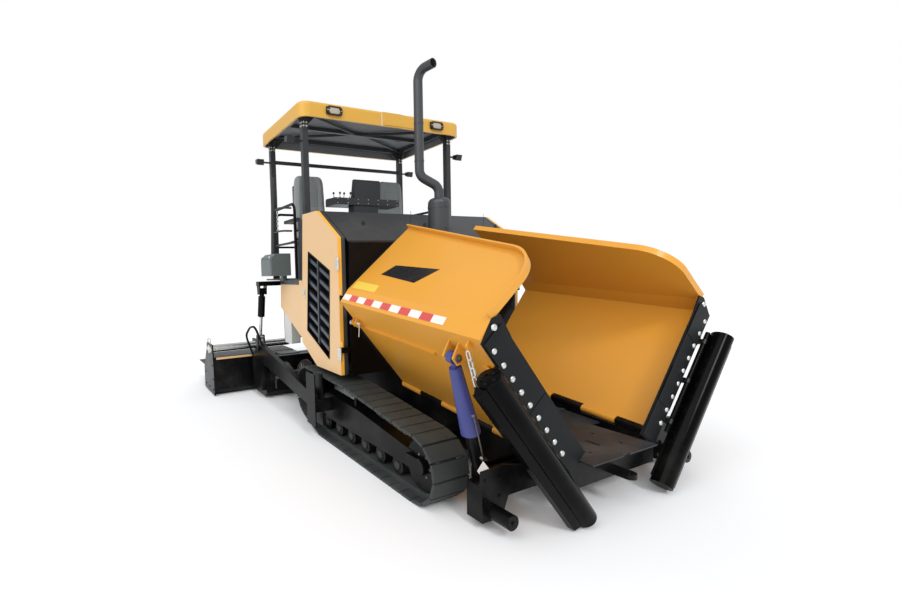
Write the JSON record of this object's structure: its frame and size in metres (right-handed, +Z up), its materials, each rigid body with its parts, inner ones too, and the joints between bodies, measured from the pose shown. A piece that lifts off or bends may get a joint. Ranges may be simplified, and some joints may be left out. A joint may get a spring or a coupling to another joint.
{
  "type": "tracked asphalt paver",
  "caption": "Tracked asphalt paver with folding hopper wings, canopy over the operator, spreading augers and an extending screed behind.",
  "frame": {"origin": "on the ground, under the middle of the machine's overall box", "axes": "+X forward towards the hopper, +Y to the machine's left, +Z up"},
  "size_m": [5.8299, 3.76, 3.899],
  "materials": {
    "black_paint": "semi-gloss black paint, dusty",
    "dark_grey_paint": "satin dark grey paint",
    "plate_grey": "matt dark grey",
    "orange_paint": "gloss orange-yellow paint",
    "yellow_paint": "gloss yellow paint",
    "cream_paint": "satin pale orange paint",
    "track_steel": "dark steel shoes",
    "worn_steel": "worn dark steel",
    "bright_steel": "bright steel",
    "cast_block": "cast and painted",
    "blue_cover": "blue cover sleeve",
    "flap_rubber": "matt rubber",
    "seat_fabric": "grey upholstery",
    "grey_plastic": "moulded plastic",
    "lamp_black": "lamp housing"
  },
  "bodies": {
    "tractor": {"main_frame": "black_paint", "front_plate": "plate_grey", "conveyor": "worn_steel", "bulkhead": "black_paint", "hood": "dark_grey_paint", "engine_block": "cast_block", "side_panels": "cream_paint", "platform": "dark_grey_paint", "handrails": "black_paint", "seat_bases": "grey_plastic", "seat_cushions": "seat_fabric", "consoles": "dark_grey_paint", "canopy_roof": "yellow_paint", "canopy_frame": "dark_grey_paint", "work_lamps": "lamp_black", "exhaust": "black_paint", "track_left": "track_steel", "track_right": "track_steel", "track_frame_left": "black_paint", "track_frame_right": "black_paint"},
    "screed": {"screed_main": "black_paint", "tow_arms": "black_paint"},
    "wing_left": {"wing_left": "orange_paint", "wing_flap_left": "flap_rubber", "apron_chain_left": "bright_steel"},
    "apron_left": {"apron_left": "black_paint"},
    "hopper_barrel_left": {"hopper_barrel_left": "black_paint"},
    "hopper_rod_left": {"hopper_rod_left": "blue_cover"},
    "door_left": {"door_left": "cream_paint"},
    "auger_left": {"auger_left": "worn_steel"},
    "extension_left": {"screed_extension_left": "black_paint", "guide_tubes_left": "bright_steel"},
    "lift_barrel_left": {"lift_barrel_left": "black_paint"},
    "lift_rod_left": {"lift_rod_left": "bright_steel"},
    "wing_right": {"wing_right": "orange_paint", "wing_flap_right": "flap_rubber", "apron_chain_right": "bright_steel"},
    "apron_right": {"apron_right": "black_paint"},
    "hopper_barrel_right": {"hopper_barrel_right": "black_paint"},
    "hopper_rod_right": {"hopper_rod_right": "blue_cover"},
    "door_right": {"door_right": "cream_paint"},
    "auger_right": {"auger_right": "worn_steel"},
    "extension_right": {"screed_extension_right": "black_paint", "guide_tubes_right": "bright_steel"},
    "lift_barrel_right": {"lift_barrel_right": "black_paint"},
    "lift_rod_right": {"lift_rod_right": "bright_steel"}
  },
  "joints": [
    {"name": "wing_left_fold", "type": "hinge", "parent": "tractor", "child": "wing_left", "pos_m": [2.75, 0.53, 0.4], "axis": [-0.995, 0, 0.0995], "range_deg": [0, 36]},
    {"name": "apron_left_swing", "type": "hinge", "parent": "wing_left", "child": "apron_left", "pos_m": [2.79, 0.87638, 0.7628], "axis": [0, -0.6307, -0.776], "range_deg": [0, 35]},
    {"name": "hopper_cylinder_left_turn", "type": "hinge", "parent": "tractor", "child": "hopper_barrel_left", "pos_m": [2.37, 0.892, 0.28], "axis": [-0.995, 0, 0.0995], "range_deg": [-1, 40.6]},
    {"name": "hopper_cylinder_left_stroke", "type": "slide", "parent": "hopper_barrel_left", "child": "hopper_rod_left", "axis": [0.0937, 0.3377, 0.9366], "range_m": [-0.2358, 0.001]},
    {"name": "door_left_swing", "type": "hinge", "parent": "tractor", "child": "door_left", "pos_m": [0.899, 1.188, 1.25], "axis": [0, 0, -1], "range_deg": [0, 80]},
    {"name": "auger_left_spin", "type": "hinge", "parent": "tractor", "child": "auger_left", "pos_m": [-1.01, 0.65, 0.36], "axis": [0, 1, 0], "continuous": true},
    {"name": "wing_right_fold", "type": "hinge", "parent": "tractor", "child": "wing_right", "pos_m": [2.75, -0.53, 0.4], "axis": [0.995, 0, -0.0995], "range_deg": [0, 36]},
    {"name": "apron_right_swing", "type": "hinge", "parent": "wing_right", "child": "apron_right", "pos_m": [2.79, -0.87638, 0.7628], "axis": [0, -0.6307, 0.776], "range_deg": [0, 35]},
    {"name": "hopper_cylinder_right_turn", "type": "hinge", "parent": "tractor", "child": "hopper_barrel_right", "pos_m": [2.37, -0.892, 0.28], "axis": [0.995, 0, -0.0995], "range_deg": [-1, 40.6]},
    {"name": "hopper_cylinder_right_stroke", "type": "slide", "parent": "hopper_barrel_right", "child": "hopper_rod_right", "axis": [0.0937, -0.3377, 0.9366], "range_m": [-0.2358, 0.001]},
    {"name": "door_right_swing", "type": "hinge", "parent": "tractor", "child": "door_right", "pos_m": [0.899, -1.188, 1.25], "axis": [0, 0, 1], "range_deg": [0, 80]},
    {"name": "auger_right_spin", "type": "hinge", "parent": "tractor", "child": "auger_right", "pos_m": [-1.01, -0.65, 0.36], "axis": [0, 1, 0], "continuous": true},
    {"name": "screed_lift", "type": "hinge", "parent": "tractor", "child": "screed", "pos_m": [0.43, 0, 0.4], "axis": [0, 1, 0], "range_deg": [0, 8]},
    {"name": "extension_left_slide", "type": "slide", "parent": "screed", "child": "extension_left", "axis": [0, -1, 0], "range_m": [-0.5, 0.6]},
    {"name": "lift_cylinder_left_turn", "type": "hinge", "parent": "tractor", "child": "lift_barrel_left", "pos_m": [-1.15, 1.305, 1.5], "axis": [0, 1, 0], "range_deg": [-3.38, 0.5]},
    {"name": "lift_cylinder_left_stroke", "type": "slide", "parent": "lift_barrel_left", "child": "lift_rod_left", "axis": [-0.2282, 0, -0.9736], "range_m": [-0.2498, 0.001]},
    {"name": "extension_right_slide", "type": "slide", "parent": "screed", "child": "extension_right", "axis": [0, 1, 0], "range_m": [-0.5, 0.6]},
    {"name": "lift_cylinder_right_turn", "type": "hinge", "parent": "tractor", "child": "lift_barrel_right", "pos_m": [-1.15, -1.305, 1.5], "axis": [0, 1, 0], "range_deg": [-3.38, 0.5]},
    {"name": "lift_cylinder_right_stroke", "type": "slide", "parent": "lift_barrel_right", "child": "lift_rod_right", "axis": [-0.2282, 0, -0.9736], "range_m": [-0.2498, 0.001]}
  ],
  "couplings": [
    {"joint": "hopper_cylinder_left_turn", "follows": "wing_left_fold", "ratio": 1.1},
    {"joint": "hopper_cylinder_left_stroke", "follows": "wing_left_fold", "m_per_rad": -0.3721},
    {"joint": "hopper_cylinder_right_turn", "follows": "wing_right_fold", "ratio": 1.1},
    {"joint": "hopper_cylinder_right_stroke", "follows": "wing_right_fold", "m_per_rad": -0.3721},
    {"joint": "lift_cylinder_left_turn", "follows": "screed_lift", "ratio": -0.36},
    {"joint": "lift_cylinder_left_stroke", "follows": "screed_lift", "m_per_rad": -1.7744},
    {"joint": "lift_cylinder_right_turn", "follows": "screed_lift", "ratio": -0.36},
    {"joint": "lift_cylinder_right_stroke", "follows": "screed_lift", "m_per_rad": -1.7744}
  ]
}
